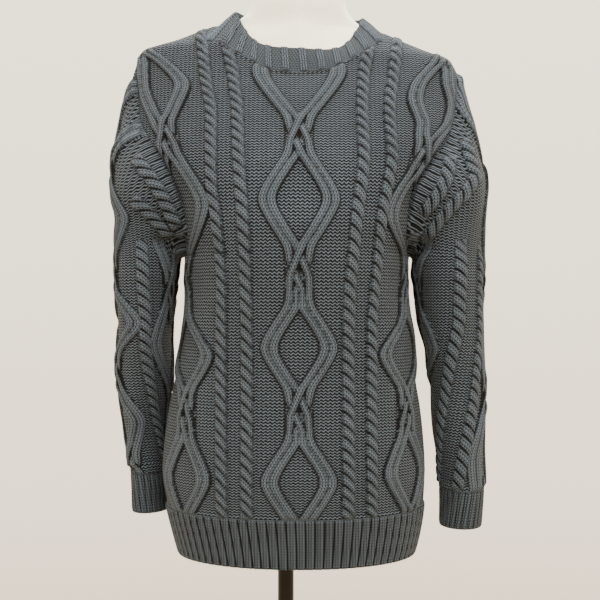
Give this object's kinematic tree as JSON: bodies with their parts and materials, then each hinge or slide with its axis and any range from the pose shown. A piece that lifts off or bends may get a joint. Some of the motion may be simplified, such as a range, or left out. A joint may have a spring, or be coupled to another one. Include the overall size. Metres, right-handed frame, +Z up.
{
  "type": "cable knit sweater on a dress form",
  "caption": "Long-sleeved sweater with rope and ogee cables and ribbed neck, cuffs and hem, standing on a limbless dress form with a pole and round base.",
  "frame": {"origin": "centre of the base's underside, on the floor under the pole", "axes": "+Z up along the pole; the garment's front faces -Y, and its left side as seen from the front is at -X"},
  "size_m": [0.444, 0.32, 1.476],
  "materials": {
    "knit": "slate grey cotton in a loose cable knit",
    "rib": "slate grey cotton rib",
    "form": "cream jersey stretched over the form",
    "pole": "dark brown satin paint",
    "base": "dark brown satin wood"
  },
  "bodies": {
    "root": {"front": "knit", "back": "knit", "sleeve_left": "knit", "sleeve_right": "knit", "hem_front": "rib", "hem_back": "rib", "cuff_left": "rib", "cuff_right": "rib", "neckband": "rib", "form_torso": "form", "form_pole": "pole", "form_base": "base"}
  },
  "joints": []
}
